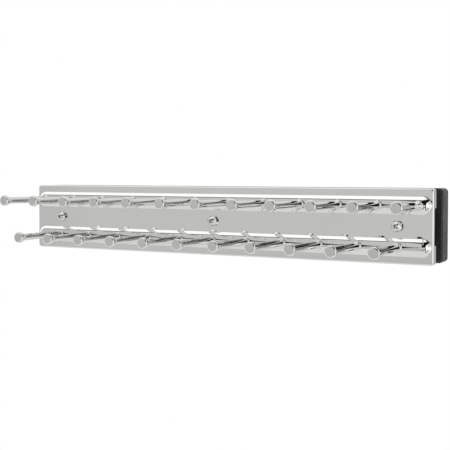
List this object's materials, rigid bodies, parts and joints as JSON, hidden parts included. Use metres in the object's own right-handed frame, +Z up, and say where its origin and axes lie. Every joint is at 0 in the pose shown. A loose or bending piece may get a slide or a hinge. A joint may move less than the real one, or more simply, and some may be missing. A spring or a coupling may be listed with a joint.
{
  "type": "pull-out tie rack",
  "caption": "Chromed steel panel with two rows of round-headed pegs that slides sideways on a ball slide in a black wall base, for hanging ties in a wardrobe.",
  "frame": {"origin": "middle of the base's wall face", "axes": "+Y into the wall, so the pegs point along -Y; +X the pull-out direction, along the rack; +Z up"},
  "size_m": [0.359, 0.0935, 0.0552],
  "materials": {
    "chrome_plate": "bright chrome plate",
    "chrome_peg": "bright chrome plate",
    "nickel_screw": "bright nickel plate",
    "black_rail": "satin black coat",
    "zinc_cage": "zinc plate",
    "zinc_fastener": "zinc plate",
    "polished_ball": "polished",
    "black_rubber": "matt",
    "black_moulding": "fine moulded grain"
  },
  "bodies": {
    "base": {"base_housing": "black_moulding", "outer_rail": "black_rail", "outer_rail_screws": "zinc_fastener", "closed_stop": "black_rubber"},
    "cage": {"ball_cage": "zinc_cage", "balls_upper": "polished_ball", "balls_lower": "polished_ball"},
    "rack": {"front_plate": "chrome_plate", "plate_screws": "nickel_screw", "rail_nuts": "zinc_fastener", "inner_rail": "black_rail", "peg_upper_01": "chrome_peg", "peg_upper_02": "chrome_peg", "peg_upper_03": "chrome_peg", "peg_upper_04": "chrome_peg", "peg_upper_05": "chrome_peg", "peg_upper_06": "chrome_peg", "peg_upper_07": "chrome_peg", "peg_upper_08": "chrome_peg", "peg_upper_09": "chrome_peg", "peg_upper_10": "chrome_peg", "peg_upper_11": "chrome_peg", "peg_upper_12": "chrome_peg", "peg_lower_01": "chrome_peg", "peg_lower_02": "chrome_peg", "peg_lower_03": "chrome_peg", "peg_lower_04": "chrome_peg", "peg_lower_05": "chrome_peg", "peg_lower_06": "chrome_peg", "peg_lower_07": "chrome_peg", "peg_lower_08": "chrome_peg", "peg_lower_09": "chrome_peg", "peg_lower_10": "chrome_peg", "peg_lower_11": "chrome_peg"}
  },
  "joints": [
    {"name": "rack_slide", "type": "slide", "parent": "base", "child": "rack", "axis": [1, 0, 0], "range_m": [0, 0.24]},
    {"name": "cage_slide", "type": "slide", "parent": "base", "child": "cage", "axis": [1, 0, 0], "range_m": [0, 0.12]}
  ],
  "couplings": [
    {"joint": "cage_slide", "follows": "rack_slide", "ratio": 0.5}
  ]
}
